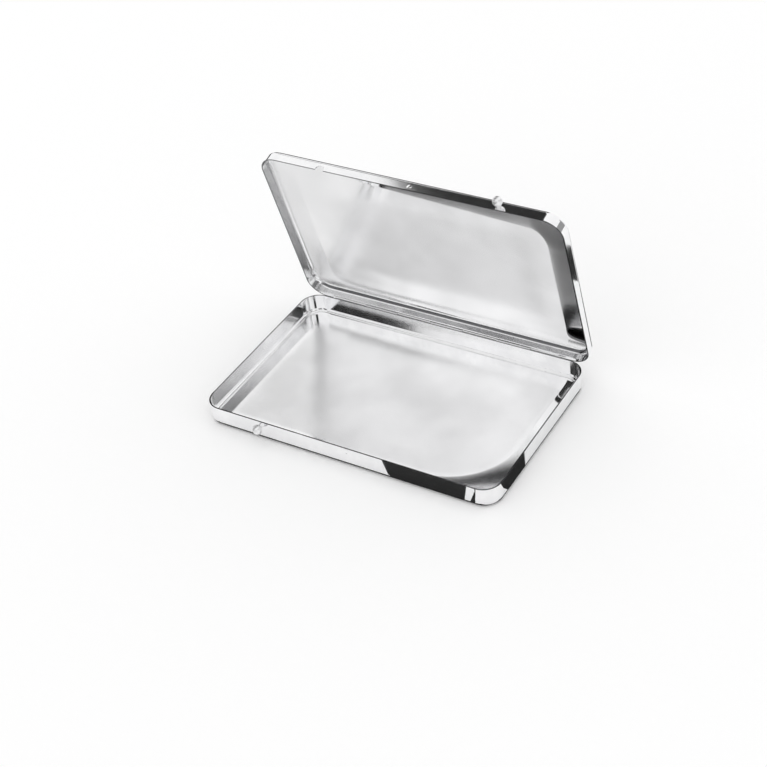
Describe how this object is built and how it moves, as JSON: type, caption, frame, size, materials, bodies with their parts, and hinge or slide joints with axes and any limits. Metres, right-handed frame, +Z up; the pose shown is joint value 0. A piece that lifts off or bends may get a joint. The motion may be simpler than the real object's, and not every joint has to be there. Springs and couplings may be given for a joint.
{
  "type": "sterilization container",
  "caption": "Flat hinged sterilization case in polished sheet steel: a shallow tray and a lid that drops over its walls, joined by a piano hinge, with ball knobs to open it.",
  "frame": {"origin": "middle of the closed case's footprint, on the underside of the base", "axes": "+X along the hinge, to the right seen from the front; +Y from the front wall to the hinge; +Z up"},
  "size_m": [0.15, 0.106, 0.1057],
  "materials": {
    "case_steel": "polished walls, satin floor and lid panel",
    "hinge_steel": "satin",
    "pin_steel": "drawn wire",
    "knob_steel": "polished"
  },
  "bodies": {
    "base": {"base_tray": "case_steel", "base_hinge_leaf": "hinge_steel", "hinge_pin": "pin_steel", "base_knob": "knob_steel"},
    "lid": {"lid_tray": "case_steel", "lid_hinge_leaf": "hinge_steel", "lid_knob": "knob_steel"}
  },
  "joints": [
    {"name": "lid_hinge", "type": "hinge", "parent": "base", "child": "lid", "pos_m": [0, 0.04899, 0.0068], "axis": [-1, 0, 0], "range_deg": [-75, 105]}
  ]
}
